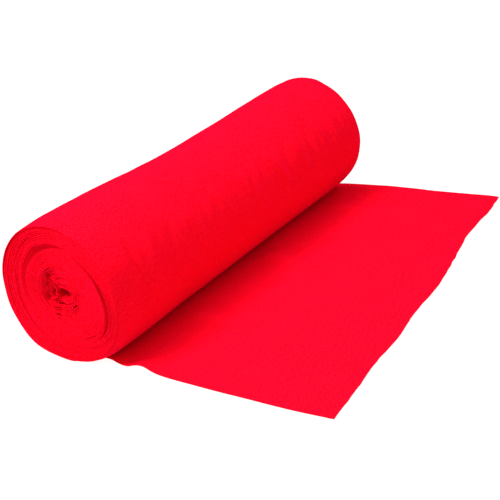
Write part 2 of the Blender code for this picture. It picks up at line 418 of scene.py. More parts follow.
# Creases of the roll's outer turn, as above, with the way round the roll from +X in place of x.
BARREL_CREASES = (
    Crease(0.048, -0.2490, 0.022, -0.2500, 0.0042, -0.0046),
    Crease(0.022, -0.2500, -0.006, -0.2460, 0.0046, -0.0041),
    Crease(0.044, -0.2150, 0.008, -0.2240, 0.0090, 0.0027),
    Crease(0.036, -0.1760, -0.004, -0.1860, 0.0075, -0.0015),
    Crease(0.046, -0.1340, 0.010, -0.1200, 0.0100, 0.0032),
    Crease(0.040, -0.0980, 0.000, -0.1040, 0.0080, -0.0016),
    Crease(0.050, -0.0620, 0.012, -0.0460, 0.0090, 0.0030),
    Crease(0.042, -0.0300, 0.002, -0.0340, 0.0070, -0.0012),
    Crease(0.048, 0.0020, 0.006, 0.0180, 0.0090, 0.0035),
    Crease(0.044, 0.0400, 0.004, 0.0360, 0.0075, -0.0018),
    Crease(0.052, 0.0700, 0.010, 0.0860, 0.0080, 0.0030),
    Crease(0.044, 0.1060, 0.002, 0.1040, 0.0075, -0.0020),
    Crease(0.048, 0.1300, 0.010, 0.1460, 0.0080, 0.0030),
    Crease(0.044, 0.1660, 0.004, 0.1680, 0.0070, -0.0016),
    Crease(0.046, 0.1900, 0.008, 0.2020, 0.0070, 0.0024),
    Crease(0.170, -0.1900, 0.150, -0.0300, 0.0060, 0.0011),
)

# The outer turn's other relief, as heights: broad swells and small ones, the rings near the far
# end and their pitch, and the fine puckers along the side over the loose end. The rings and the
# puckers start and stop at places along the roll.
SWELLS = 0.0011
SMALL_SWELLS = 0.0003
FAR_RINGS = 0.0007
FAR_RING_PITCH = 0.0085
FAR_RINGS_START = (0.205, 0.235)
FAR_RINGS_STOP = (0.286, 0.296)
PUCKERS = 0.0012
PUCKERS_START = (-0.26, -0.10)
PUCKERS_STOP = (0.25, 0.29)

# How far the nap rounds the selvages out.
NAP_EDGE = 0.0003

# The brushed nap: each part's share of its tone and of its height, how much finer than the tufts
# the fibres and the combed streaks are, the streaks' slant and stretch, and the patches' number in
# a metre.
NAP_TONE = {"tufts": 0.33, "streaks": 0.42, "fibres": 0.21, "patches": 0.04}
NAP_HEIGHT = {"tufts": 0.45, "fibres": 0.30, "streaks": 0.25}
FIBRES_FINER = 4.3
STREAKS_FINER = 1.2
STREAKS_SLANT = math.radians(38)
STREAKS_STRETCH = 0.32
PATCHES_IN_A_METRE = 26.0

# The flannel: the tones that take the darker red, partly a random mottle and partly painted shade
# in the nap's low places, and the full red; the shares of nap and twill in its relief, the twill's
# own two threads, the strength and depth of the bump, and its sheen.
DEEP_TONE = 0.40
FULL_TONE = 0.58
NAP_RELIEF = 0.85
TWILL_RELIEF = 0.15
TWILL_LINE = 0.35
TWILL_WEFT = 0.15
BUMP_STRENGTH = 0.17
BUMP_DEPTH = 0.0012
SHEEN_WEIGHT = 0.25
SHEEN_ROUGHNESS = 0.5

# The studio's lights: a place, what each is aimed at, its size, and the setting with its power.
# The floor glows white, so that the cloth doesn't tint it, and lies just under the cloth.
StudioLight = namedtuple("StudioLight", "name place aim size power")
LIGHTS = (
    StudioLight("Key light", (-0.45, -1.05, 1.66), (0.05, 0.0, 0.05), (0.5, 0.35), "key_power"),
    StudioLight("Overhead light", (-0.30, 0.0, 1.9), (0.05, 0.0, 0.05), (1.2, 1.2),
                "overhead_power"),
    StudioLight("Right light", (0.55, -0.40, 1.9), (0.15, 0.0, 0.0), (1.2, 1.2), "right_power"),
)
FLOOR_GLOW = 0.95
FLOOR_BELOW = 0.0002

# Samples to a turn when its length is measured, and over a graded row of places.
LENGTH_SAMPLES = 40
GRADED_SAMPLES = 4000

# The camera, fitted to the photograph.
CAMERA_AZIMUTH = math.radians(37.777)
CAMERA_ELEVATION = math.radians(22.226)
CAMERA_TILT = math.radians(-10.903)
CAMERA_DISTANCE = 1.7245
CAMERA_RIGHT = 0.05514
CAMERA_UP = 0.00769
SENSOR_WIDTH = 36.0


def smooth_curve(rows, column=1):
    """A smooth curve through a table's first column and another one, read at numbers or arrays."""
    places = np.array([row[0] for row in rows], dtype=float)
    values = np.array([row[column] for row in rows], dtype=float)
    slopes = np.empty_like(values)
    slopes[1:-1] = (values[2:] - values[:-2]) / (places[2:] - places[:-2])
    slopes[0] = (values[1] - values[0]) / (places[1] - places[0])
    slopes[-1] = (values[-1] - values[-2]) / (places[-1] - places[-2])

    def read(at):
        at = np.clip(at, places[0], places[-1])
        i = np.clip(np.searchsorted(places, at, side="right") - 1, 0, len(places) - 2)
        span = places[i + 1] - places[i]
        t = (at - places[i]) / span
        t2 = t * t
        t3 = t2 * t
        return ((2 * t3 - 3 * t2 + 1) * values[i] + (t3 - 2 * t2 + t) * slopes[i] * span
                + (3 * t2 - 2 * t3) * values[i + 1] + (t3 - t2) * slopes[i + 1] * span)

    return read


RADIUS_AT = smooth_curve(BARREL, 1)
MIDDLE_AT = smooth_curve(BARREL, 2)
HEIGHT_AT = smooth_curve(BARREL, 3)
SLUMP_SHARE_AT = smooth_curve(BARREL, 4)
SLUMP_AT = smooth_curve(SLUMP)
DRIFT_ACROSS_AT = smooth_curve(DRIFT, 1)
DRIFT_UP_AT = smooth_curve(DRIFT, 2)
NEAR_SUNK_AT = smooth_curve(END_FACE, 1)
FAR_SUNK_AT = smooth_curve(END_FACE, 2)
STEP_SHARE_AT = smooth_curve(END_FACE, 3)
STEP_AT = smooth_curve(STEP)
FAR_WANDER_AT = smooth_curve(FAR_WANDER)
HOLLOW_AT = smooth_curve(HOLLOW)
BUNCHED_AT = smooth_curve(BUNCHED)
NEAR_SELVAGE_AT = smooth_curve(NEAR_SELVAGE)
FAR_SELVAGE_AT = smooth_curve(FAR_SELVAGE)
CUT_EDGE_AT = smooth_curve(CUT_EDGE)


def ease(low, high, value):
    """From 0 at low to 1 at high, with a soft start and stop."""
    t = np.clip((value - low) / (high - low), 0.0, 1.0)
    return t * t * (3 - 2 * t)


def degrees_of(angle):
    return np.degrees(angle) % 360


def angle_window(angle, middle, half_length):
    """1 in the middle of a stretch of angles, in degrees, easing to 0 at its ends."""
    off = np.abs((degrees_of(angle) - middle + 180) % 360 - 180)
    return 1 - ease(half_length * WINDOW_FLAT, half_length, off)


# Side of the noise's lattice, after which it repeats.
LATTICE = 64


def rumple(u, v, size_u, size_v, seed):
    """Seeded smooth noise from -1 to 1, whose bumps are about size_u by size_v."""
    lattice = np.random.default_rng(seed).uniform(-1, 1, (LATTICE, LATTICE))
    u = np.asarray(u, dtype=float) / size_u
    v = np.asarray(v, dtype=float) / size_v
    u, v = np.broadcast_arrays(u, v)
    i = np.floor(u).astype(int)
    j = np.floor(v).astype(int)
    s = ease(0, 1, u - i)
    t = ease(0, 1, v - j)
    i0, i1 = i % LATTICE, (i + 1) % LATTICE
    j0, j1 = j % LATTICE, (j + 1) % LATTICE
    near = lattice[i0, j0] * (1 - s) + lattice[i1, j0] * s
    far = lattice[i0, j1] * (1 - s) + lattice[i1, j1] * s
    return near * (1 - t) + far * t


class FLANNEL_PG_cloth(bpy.types.PropertyGroup):
    """Sizes of the cloth and of its winding."""

    pitch: FloatProperty(
        name="Turn pitch", description="From one turn to the next",
        default=0.00105, min=0.0005, max=0.005, precision=5, unit="LENGTH")
    fill: FloatProperty(
        name="Fill", description="Share of the pitch that the napped cloth fills",
        default=0.965, min=0.3, max=1.0, subtype="FACTOR")
    turns: IntProperty(
        name="Turns", description="Number of turns on the roll", default=78, min=4, max=200)
    nip_angle: FloatProperty(
        name="Nip angle", description="Where the loose end leaves the underside, from straight down",
        default=math.radians(14), subtype="ANGLE")
    fine_step: FloatProperty(
        name="Fine step", description="Mesh size of the loose end, halved at its creases",
        default=0.0036, min=0.002, max=0.02, precision=4, unit="LENGTH")
    pucker_step: FloatProperty(
        name="Pucker step", description="Spacing of the mesh along the roll, for its narrow puckers",
        default=0.0018, min=0.001, max=0.02, precision=4, unit="LENGTH")
    around_step: FloatProperty(
        name="Around step", description="Spacing of the mesh round the roll",
        default=0.0052, min=0.002, max=0.02, precision=4, unit="LENGTH")
    slack_sides: IntProperty(
        name="Steps of a slack turn", description="Mesh steps in each slack turn",
        default=84, min=16, max=200)
    core_sides: IntProperty(
        name="Steps of a core turn", description="Mesh steps in each turn of the core",
        default=60, min=16, max=200)


class FLANNEL_PG_finish(bpy.types.PropertyGroup):
    """Colours and surface of the flannel."""

    colour: FloatVectorProperty(
        name="Dye", description="Colour of the nap in full light", subtype="COLOR",
        default=(0.88, 0.0040, 0.0270), min=0.0, max=1.0)
    # Painted shade: the darker red of the nap's low places, partly the cloth's own random tone and
    # partly painted shade down between the fibres.
    shade: FloatVectorProperty(
        name="Deep dye", description="Colour down between the fibres", subtype="COLOR",
        default=(0.76, 0.0, 0.0), min=0.0, max=1.0)
    sheen: FloatVectorProperty(
        name="Sheen", description="Tint of the light that the standing fibres catch",
        subtype="COLOR", default=(1.0, 0.0, 0.10), min=0.0, max=1.0)
    nap_size: FloatProperty(
        name="Nap size", description="Size of the tufts that the nap lies in",
        default=0.0014, min=0.0002, max=0.02, precision=4, unit="LENGTH")
    thread_pitch: FloatProperty(
        name="Thread pitch", description="From one thread of the twill to the next",
        default=0.0007, min=0.0002, max=0.005, precision=5, unit="LENGTH")


class FLANNEL_PG_studio(bpy.types.PropertyGroup):
    """The pale floor and the soft light."""

    floor_colour: FloatVectorProperty(
        name="Floor", description="Colour of the studio floor", subtype="COLOR",
        default=(0.15, 0.15, 0.15), min=0.0, max=1.0)
    floor_size: FloatProperty(
        name="Floor size", description="Side of the floor", default=30.0, min=1.0, unit="LENGTH")
    focal_length: FloatProperty(
        name="Focal length", description="Of the camera's lens, in millimetres",
        default=86.717, min=10.0, max=300.0)
    key_power: FloatProperty(
        name="Key light", description="Power of the light at the upper left, in watts",
        default=33.0)
    overhead_power: FloatProperty(
        name="Overhead light", description="Power of the large soft light overhead, in watts",
        default=22.5)
    right_power: FloatProperty(
        name="Right light", description="Power of the wide light over the loose end, in watts",
        default=7.0)
    room_light: FloatProperty(
        name="Room light", description="Brightness of the white room", default=0.66)


def level_of(turn, cloth):
    """A turn's share of the roll's radius: 1 outside, less and less inwards."""
    return 1 - turn * cloth.pitch / ROLL_RADIUS


def turn_angle(turn, cloth):
    """The angle of a place on the winding, which runs under the roll, up its back and over."""
    return -math.pi / 2 + cloth.nip_angle - 2 * math.pi * turn


def from_ends(y):
    """How far a place along the roll is from the nearer end."""
    return np.minimum(y - NEAR_Y, FAR_Y - y)


def ring_place(level, angle, y):
    """Where a level of the winding lies at an angle and a place along the roll."""
    radius = RADIUS_AT(y) + SLUMP_SHARE_AT(y) * SLUMP_AT(degrees_of(angle)) * level ** 3
    height = HEIGHT_AT(y)
    bunched = ease(BUNCHED_FROM, BUNCHED_LEVEL, level) * (1 - ease(BUNCHED_LEVEL, 1.0, level))
    reach = level * radius + BUNCHED_AT(degrees_of(angle)) * bunched
    to_core = 1 - ease(*CORE_LEVELS, level)
    closed = 1 - HOLLOW_CLOSED * ease(*HOLLOW_CLOSES, from_ends(y))
    hollow = HOLLOW_AT(degrees_of(angle)) * closed * level / HOLLOW_LEVEL
    reach = reach * (1 - to_core) + to_core * hollow
    across = DRIFT_ACROSS_AT(level)
    up = DRIFT_UP_AT(level)
    x = MIDDLE_AT(y) + across + reach * np.cos(angle)
    z = height + up + reach * np.sin(angle)
    return x, np.maximum(z, (1 - level) * height)


def crumple_gaps():
    """Seeded short gaps for the crumpled turns."""
    chance = np.random.default_rng(CRUMPLE_SEED)
    ranges = list(zip(CRUMPLE_FROM, CRUMPLE_TO))
    return [Gap(*(low + (high - low) * chance.random() for low, high in ranges))
            for _ in range(CRUMPLE_GAPS)]


def slack(turn, angle, cloth):
    """How far the turns stand in from their even places, for the gaps outside them."""
    total = 0.0
    for gap in (*GAPS, *crumple_gaps()):
        first_pass = (degrees_of(turn_angle(0, cloth)) - gap.angle) / 360 % 1
        under = round(gap.turn) + first_pass
        opened = ease(under, under + 1, turn)
        last = under + TAKEN_UP_BY + TURNS_FOR_WIDTH * gap.width
        taken_up = 1 - ease(under + TAKEN_UP_FROM, last, turn)
        here = angle_window(angle, gap.angle, gap.half_length)
        total = total + gap.width * opened * taken_up * here
    return total


def crumple(level, angle):
    """The share of crumpling: only round the core, and most of all to its left."""
    core = 1 - ease(*CRUMPLED_LEVELS, level)
    left = angle_window(angle, *CRUMPLED_SIDE)
    return core * (CRUMPLED_RIGHT + (1 - CRUMPLED_RIGHT) * left)


def ring_rumple(level, angle, seed):
    """Soft rings of unevenness from turn to turn, longer round the roll than across the turns."""
    way_round = np.sin(angle / 2) * 2.4
    return rumple(level * ROLL_RADIUS, way_round, RING_SIZE, 1.0, seed)


def end_dents(level, angle, seed):
    """Soft dents over a wound end, from 0 to 2."""
    x = level * ROLL_RADIUS * np.cos(angle)
    z = level * ROLL_RADIUS * np.sin(angle)
    return 1 + rumple(x, z, DENT_SIZE, DENT_SIZE, seed)


def near_edge(turn, level, angle, run):
    """The y of the near selvage along the winding."""
    settled = ease(0.0, SETTLES_OVER, turn)
    sunk = NEAR_SUNK_AT(level) + STEP_SHARE_AT(level) * STEP_AT(degrees_of(angle))
    sunk = sunk + NEAR_DENTS * end_dents(level, angle, 11)
    sunk = sunk + NEAR_RAGGED * rumple(run, 0, 0.03, 1, 12)
    slack_side = RINGS_RIGHT + (1 - RINGS_RIGHT) * angle_window(angle, *SLACK_SIDE)
    rings = 1 + ring_rumple(level, angle, 14)
    sunk = sunk + RINGS_SUNK * slack_side * rings * ease(0.0, 0.03, 1 - level)
    outer = 1 - ease(*OUTER_STOPS, turn)
    sunk = sunk + OUTER_RIGHT_SUNK * outer * angle_window(angle, *RIGHT_SIDE)
    sunk = sunk + crumple(level, angle) * CRUMPLED_SUNK * (1 + rumple(run, 0, 0.008, 1, 13))
    under_rim = ease(*UNDER_RIM_STARTS, turn) * (1 - ease(*UNDER_RIM_STOPS, turn))
    sunk = sunk + UNDER_RIM_SUNK * under_rim * angle_window(angle, *TOP_SIDE)
    sunk = sunk + RIM_SUNK * ease(*RIM_LEVELS, level) * angle_window(angle, *LOWER_LEFT)
    start = NEAR_SELVAGE[0].y - NEAR_Y
    return NEAR_Y + sunk * settled + start * (1 - settled)


def far_edge(turn, level, angle, run):
    """The y of the far selvage along the winding."""
    settled = ease(0.0, SETTLES_OVER, turn)
    sunk = FAR_SUNK_AT(level) - level * FAR_WANDER_AT(degrees_of(angle))
    sunk = sunk + FAR_DENTS * end_dents(level, angle, 21)
    sunk = sunk + FAR_RAGGED * rumple(run, 0, 0.03, 1, 22)
    outer = 1 - ease(0.9, 1.3, turn)
    sunk = sunk + FAR_OUTER_RAGGED * rumple(run, 0, 0.016, 1, 23) * outer
    start = FAR_SELVAGE[0].y - FAR_Y
    return FAR_Y - sunk * settled + start * (1 - settled)


def crease_height(creases, x, y):
    """The height that creases give at a place on the cloth."""
    total = np.zeros(np.broadcast(x, y).shape)
    for crease in creases:
        along = np.array([crease.to_x - crease.x, crease.to_y - crease.y])
        length = math.hypot(*along)
        along = along / length
        s = (x - crease.x) * along[0] + (y - crease.y) * along[1]
        off = (x - crease.x) * -along[1] + (y - crease.y) * along[0]
        beyond = np.maximum(np.maximum(-s, s - length), 0.0)
        shape = np.exp(-(off / crease.width) ** 2 - (beyond / CREASE_FADE) ** 2)
        total = total + crease.height * shape
    return total


def barrel_relief(angle, y, run):
    """Low swells, puckers and creases of the outer turn, outwards."""
    relief = SWELLS * rumple(run, y, 0.10, 0.07, 31)
    relief = relief + SMALL_SWELLS * rumple(run, y, 0.035, 0.024, 32)
    wandering = y + 0.002 * rumple(run, y, 0.03, 0.03, 33)
    rings = np.sin(2 * math.pi * wandering / FAR_RING_PITCH)
    near_far_end = ease(*FAR_RINGS_START, y) * (1 - ease(*FAR_RINGS_STOP, y))
    where = near_far_end * angle_window(angle, *RINGED_SIDE)
    relief = relief + FAR_RINGS * (rings + 0.6) * where
    pucker = rumple(run, y, 0.030, 0.0120, 34) + 0.5 * rumple(run, y, 0.018, 0.0065, 35) + 0.5
    between_ends = ease(*PUCKERS_START, y) * (1 - ease(*PUCKERS_STOP, y))
    relief = relief + PUCKERS * pucker * between_ends * angle_window(angle, *PUCKERED_SIDE)
    way_round = ((angle + math.pi) % (2 * math.pi) - math.pi) * ROLL_RADIUS
    return relief + crease_height(BARREL_CREASES, way_round, y)


def wound_points(turn, share, inward, cloth):
    """Points of the wound cloth: turn along the winding, share across it, inward through it."""
    angle = turn_angle(turn, cloth)
    level = level_of(turn, cloth)
    run = turn * 2 * math.pi * ROLL_RADIUS * (1 + level) / 2
    near = near_edge(turn, level, angle, run)
    far = far_edge(turn, level, angle, run)
    y = near + (far - near) * share
    fill = cloth.fill * (1 - CRUMPLED_THINNER * crumple(level, angle))
    stand = -slack(turn, angle, cloth)
    clear = ease(*RELIEF_STARTS, turn) * (1 - ease(*RELIEF_STOPS, turn))
    stand = stand + clear * barrel_relief(angle, y, run)
    hidden = ease(*OUTER_STOPS, turn) * ease(*HIDDEN_INSIDE, from_ends(y))
    stand = stand - hidden * HIDDEN_LOWER
    folds = rumple(angle + 40, turn, 0.30, 2.6, 41)
    stand = stand + crumple(level, angle) * CRUMPLED_FOLDS * folds
    x, z = ring_place(level_of(turn + inward * fill, cloth) + stand / ROLL_RADIUS, angle, y)
    return np.stack([x, y, z], axis=-1), run


def lift_height(x, y):
    """How far the loose end stands off the floor."""
    height = np.zeros(np.broadcast(x, y).shape)
    for lift in LIFTS:
        height = height + lift.height * np.exp(-((x - lift.x) / lift.along) ** 2
                                               - ((y - lift.y) / lift.across) ** 2)
    height = height + LOOSE_SWELLS * (1 + rumple(x, y, 0.06, 0.08, 51))
    height = height + crease_height(CREASES, x, y)
    return np.maximum(height, 0.0)


def loose_points(away, share, inward, cloth):
    """Points of the loose end: away from the nip, share across, inward up through the cloth."""
    nip = turn_angle(0.0, cloth)
    start_y = NEAR_SELVAGE[0].y + (FAR_SELVAGE[0].y - NEAR_SELVAGE[0].y) * share
    start_x, _ = ring_place(1.0, nip, start_y)
    stop_x = CUT_EDGE_AT(share) + CUT_RAGGED * rumple(share, 0, 0.02, 1, 61)
    x = start_x + (stop_x - start_x) * away
    near = NEAR_SELVAGE_AT(x)
    far = FAR_SELVAGE_AT(x)
    y = near + (far - near) * share
    clear = ease(0.0, LIFT_FADE, x - start_x)
    thickness = cloth.pitch * cloth.fill
    z = lift_height(x, y) * clear + inward * thickness
    return np.stack([x, y, z], axis=-1), start_x - x


def sheet_profile(columns, nap_edge):
    """The cloth's section across: shares of the width, and how deep in the cloth each point is."""
    shares = list(columns) + [1.0] + list(reversed(columns)) + [0.0]
    depths = [0.0] * len(columns) + [0.5] + [1.0] * len(columns) + [0.5]
    bulge = [0.0] * len(columns) + [nap_edge] + [0.0] * len(columns) + [-nap_edge]
    return np.array(shares), np.array(depths), np.array(bulge)


def loft_mesh(name, points, runs, shares, width):
    """A closed mesh through rows of points, each one the cloth's section."""
    rows, ring, _ = points.shape
    faces = []
    for i in range(rows - 1):
        low = i * ring
        high = low + ring
        faces += [(low + j, low + (j + 1) % ring, high + (j + 1) % ring, high + j)
                  for j in range(ring)]
    for base, turned in ((0, True), ((rows - 1) * ring, False)):
        for j in range(ring // 2):
            corners = (j, (j + 1) % ring, (ring - 2 - j) % ring, (ring - 1 - j) % ring)
            cap = list(dict.fromkeys(base + corner for corner in corners))
            if len(cap) > 2:
                faces.append(tuple(cap if turned else reversed(cap)))
    mesh = bpy.data.meshes.new(name)
    mesh.from_pydata(points.reshape(-1, 3).tolist(), [], faces)
    mesh.validate()
    layer = mesh.uv_layers.new(name=CLOTH_UV)
    corner = np.empty(len(mesh.loops), dtype=np.int32)
    mesh.loops.foreach_get("vertex_index", corner)
    across = np.broadcast_to(shares * width, (rows, ring)).reshape(-1)
    along = np.broadcast_to(runs, (rows, ring)).reshape(-1)
    layer.data.foreach_set("uv", np.stack([along[corner], across[corner]], axis=1).reshape(-1))
    mesh.shade_smooth()
    return mesh


def add_piece(name, mesh, material):
    """Put a piece in the scene, riding on the roll's one body."""
    piece = bpy.data.objects.new(name, mesh)
    bpy.context.scene.collection.objects.link(piece)
    piece.data.materials.append(material)
    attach(piece, "root")
    return piece


def new_group(name, inputs, outputs):
    """A shader node group with named sockets, and its two end nodes."""
    group = bpy.data.node_groups.new(name, "ShaderNodeTree")
    for label, kind, value in inputs:
        socket = group.interface.new_socket(label, in_out="INPUT", socket_type=kind)
        if value is not None:
            socket.default_value = value
    for label, kind in outputs:
        group.interface.new_socket(label, in_out="OUTPUT", socket_type=kind)
    return group, group.nodes.new("NodeGroupInput"), group.nodes.new("NodeGroupOutput")


def math_node(group, operation, first, second):
    """A Math node whose inputs are sockets or numbers. Returns its output."""
    node = group.nodes.new("ShaderNodeMath")
    node.operation = operation
    for socket, value in zip(node.inputs, (first, second)):
        if isinstance(value, (int, float)):
            socket.default_value = value
        else:
            group.links.new(value, socket)
    return node.outputs[0]


def noise_node(group, place, scale, detail, roughness):
    """A Noise Texture node read at a place."""
    node = group.nodes.new("ShaderNodeTexNoise")
    node.inputs["Detail"].default_value = detail
    node.inputs["Roughness"].default_value = roughness
    group.links.new(place, node.inputs["Vector"])
    if isinstance(scale, (int, float)):
        node.inputs["Scale"].default_value = scale
    else:
        group.links.new(scale, node.inputs["Scale"])
    return node.outputs["Fac"]


def shared_sum(group, parts):
    """The sum of a group's parts, each times its share."""
    total = None
    for part, share in parts:
        scaled = math_node(group, "MULTIPLY", part, share)
        total = scaled if total is None else math_node(group, "ADD", total, scaled)
    return total


def nap_group():
    """Brushed nap: soft tufts with fine fibres in them, as a tone mask and a height. The tone is low
    where the nap is low, and places the flannel's painted shade there.
    """
    group, start, end = new_group(
        "Brushed Nap",
        [("Place", "NodeSocketVector", None), ("Run", "NodeSocketVector", None),
         ("Tuft Size", "NodeSocketFloat", 0.002)],
        [("Tone", "NodeSocketFloat"), ("Height", "NodeSocketFloat")])
    place = start.outputs["Place"]
    scale = math_node(group, "DIVIDE", 1.0, start.outputs["Tuft Size"])
    tufts = noise_node(group, place, scale, 2.0, 0.55)
    fibre_scale = math_node(group, "MULTIPLY", scale, FIBRES_FINER)
    fibres = noise_node(group, place, fibre_scale, 3.0, 0.6)
    patches = noise_node(group, place, PATCHES_IN_A_METRE, 2.0, 0.5)
    combed = group.nodes.new("ShaderNodeMapping")
    combed.inputs["Rotation"].default_value = (0, 0, STREAKS_SLANT)
    combed.inputs["Scale"].default_value = (STREAKS_STRETCH, 1.0, 1.0)
    group.links.new(start.outputs["Run"], combed.inputs["Vector"])
    streak_scale = math_node(group, "MULTIPLY", scale, STREAKS_FINER)
    streaks = noise_node(group, combed.outputs["Vector"], streak_scale, 1.0, 0.5)
    parts = {"tufts": tufts, "fibres": fibres, "patches": patches, "streaks": streaks}
    tone = shared_sum(group, [(parts[name], share) for name, share in NAP_TONE.items()])
    height = shared_sum(group, [(parts[name], share) for name, share in NAP_HEIGHT.items()])
    group.links.new(tone, end.inputs["Tone"])
    group.links.new(height, end.inputs["Height"])
    return group


def twill_group():
    """The twill under the nap: slanting lines of threads in the cloth's own run."""
    group, start, end = new_group(
        "Flannel Twill",
        [("Run", "NodeSocketVector", None), ("Pitch", "NodeSocketFloat", 0.0007)],
        [("Height", "NodeSocketFloat")])
    split = group.nodes.new("ShaderNodeSeparateXYZ")
    group.links.new(start.outputs["Run"], split.inputs[0])
    turn = math_node(group, "DIVIDE", 2 * math.pi, start.outputs["Pitch"])
    slanting = math_node(group, "ADD", split.outputs["X"], split.outputs["Y"])
    line = math_node(group, "SINE", math_node(group, "MULTIPLY", slanting, turn), 0.0)
    weft = math_node(group, "SINE", math_node(group, "MULTIPLY", split.outputs["Y"], turn), 0.0)
    both = shared_sum(group, ((line, TWILL_LINE), (weft, TWILL_WEFT)))
    group.links.new(math_node(group, "ADD", both, 0.5), end.inputs["Height"])
    return group


def flannel_material(finish):
    """Red flannel: matt, softly mottled and darker in the nap's low places with painted shade, with
    a nap that catches the light at grazing angles.
    """
    found = bpy.data.materials.get("Red flannel")
    if found:
        return found
    material = bpy.data.materials.new("Red flannel")
    material.use_nodes = True
    tree = material.node_tree
    shader = tree.nodes["Principled BSDF"]
    place = tree.nodes.new("ShaderNodeTexCoord")
    run = tree.nodes.new("ShaderNodeUVMap")
    run.uv_map = CLOTH_UV
    nap = tree.nodes.new("ShaderNodeGroup")
    nap.node_tree = nap_group()
    nap.inputs["Tuft Size"].default_value = finish.nap_size
    tree.links.new(place.outputs["Object"], nap.inputs["Place"])
    tree.links.new(run.outputs["UV"], nap.inputs["Run"])
    twill = tree.nodes.new("ShaderNodeGroup")
    twill.node_tree = twill_group()
    twill.inputs["Pitch"].default_value = finish.thread_pitch
    tree.links.new(run.outputs["UV"], twill.inputs["Run"])
    # The tone mask mixes the full red with the darker one: a random mottle of the nap, and painted
    # shade where the nap is low, down between the fibres.
    tone = tree.nodes.new("ShaderNodeMapRange")
    tone.inputs["From Min"].default_value = DEEP_TONE
    tone.inputs["From Max"].default_value = FULL_TONE
    tree.links.new(nap.outputs["Tone"], tone.inputs["Value"])
    dye_and_shade = tree.nodes.new("ShaderNodeMix")
    dye_and_shade.data_type = "RGBA"
    dye_and_shade.inputs["A"].default_value = (*finish.shade, 1)
    dye_and_shade.inputs["B"].default_value = (*finish.colour, 1)
    tree.links.new(tone.outputs["Result"], dye_and_shade.inputs["Factor"])
    tree.links.new(dye_and_shade.outputs["Result"], shader.inputs["Base Color"])
    height = shared_sum(
        tree, ((nap.outputs["Height"], NAP_RELIEF), (twill.outputs["Height"], TWILL_RELIEF)))
    bump = tree.nodes.new("ShaderNodeBump")
    bump.inputs["Strength"].default_value = BUMP_STRENGTH
    bump.inputs["Distance"].default_value = BUMP_DEPTH
    tree.links.new(height, bump.inputs["Height"])
    tree.links.new(bump.outputs["Normal"], shader.inputs["Normal"])
    shader.inputs["Roughness"].default_value = 1.0
    shader.inputs["Specular IOR Level"].default_value = 0.0
    shader.inputs["Sheen Weight"].default_value = SHEEN_WEIGHT
    shader.inputs["Sheen Roughness"].default_value = SHEEN_ROUGHNESS
    shader.inputs["Sheen Tint"].default_value = (*finish.sheen, 1)
    return material


def winding_length(first, last, cloth):
    """The length of cloth in the turns from first to last, in metres."""
    turns = np.linspace(first, last, LENGTH_SAMPLES * int(last - first + 1))
    x, z = ring_place(level_of(turns, cloth), turn_angle(turns, cloth), 0.0)
    return float(np.hypot(np.diff(x), np.diff(z)).sum())


def wind_turns(context, name, first, last, depths, sides):
    """Wind the turns from first to last as one piece, with columns at the given depths."""
    cloth = context.scene.flannel_cloth
    turns = np.linspace(first, last, int((last - first) * sides) + 1)[:, None]
    width = FAR_Y - NEAR_Y
    columns = [depth / width for depth in depths]
    columns += [1 - share for share in reversed(columns)]
    shares, through, bulge = sheet_profile(columns, NAP_EDGE / width)
    points, runs = wound_points(turns, (shares + bulge)[None, :], through[None, :], cloth)
    mesh = loft_mesh(name, points, runs, shares, width)
    piece = add_piece(name, mesh, flannel_material(context.scene.flannel_finish))
    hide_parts("wound_roll")
    length = winding_length(first, last, cloth)


class FLANNEL_OT_slack_turns(bpy.types.Operator):
    """Wind the slack turns, from under the outer one to the gap round the tighter core"""

    bl_idname = "flannel.slack_turns"
    bl_label = "Slack turns"

    def execute(self, context):
        cloth = context.scene.flannel_cloth
        depths = (0.0, 0.0015, 0.006, 0.025, 0.09, 0.17, 0.25)
        wind_turns(context, "slack_turns", OUTER_TURNS, SLACK_TURNS, depths,
                   cloth.slack_sides)
        return {"FINISHED"}


class FLANNEL_OT_core_turns(bpy.types.Operator):
    """Wind the tighter turns, on inwards to the crumpled, hollow core"""

    bl_idname = "flannel.core_turns"
    bl_label = "Core turns"

    def execute(self, context):
        cloth = context.scene.flannel_cloth
        depths = (0.0, 0.0015, 0.005, 0.015, 0.06, 0.18)
        wind_turns(context, "core_turns", SLACK_TURNS, cloth.turns, depths,
                   cloth.core_sides)
        return {"FINISHED"}


def graded(start, stop, step, fine_step, fine_places):
    """Places from start to stop, a step apart, and closer together at the finer places."""
    fine = np.linspace(start, stop, GRADED_SAMPLES + 1)
    spacing = np.full(fine.shape, step)
    for low, high in fine_places:
        spacing[(fine > low) & (fine < high)] = fine_step
    count = np.cumsum(1 / spacing)[:-1] * (stop - start) / GRADED_SAMPLES
    count = np.concatenate([[0.0], count])
    return np.interp(np.linspace(0, count[-1], int(count[-1]) + 2), count, fine)


class FLANNEL_OT_loose_end(bpy.types.Operator):
    """Lay the loose end on the floor, from its cut edge to the nip under the roll"""

    bl_idname = "flannel.loose_end"
    bl_label = "Loose end"

    # Where the mesh is finer, for the sharp creases beside the nip.
    FINE_ACROSS = ((0.452, 0.474), (0.535, 0.592))
    FINE_ALONG = ((0.085, 0.160),)

    def execute(self, context):
        cloth = context.scene.flannel_cloth
        width = FAR_Y - NEAR_Y
        finer = cloth.fine_step / 2
        columns = graded(0, width, cloth.fine_step, finer, self.FINE_ACROSS) / width
        shares, depths, bulge = sheet_profile(list(columns), NAP_EDGE / width)
        reach = LOOSE_HIGH[0] - LOOSE_LOW[0]
        away = graded(0, reach, cloth.fine_step, finer, self.FINE_ALONG)[::-1] / reach
        points, runs = loose_points(
            away[:, None], (shares + bulge)[None, :], depths[None, :], cloth)
        mesh = loft_mesh("loose_cloth", points, runs, shares, width)
        piece = add_piece("loose_cloth", mesh, flannel_material(context.scene.flannel_finish))
        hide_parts("loose_end")
        return {"FINISHED"}


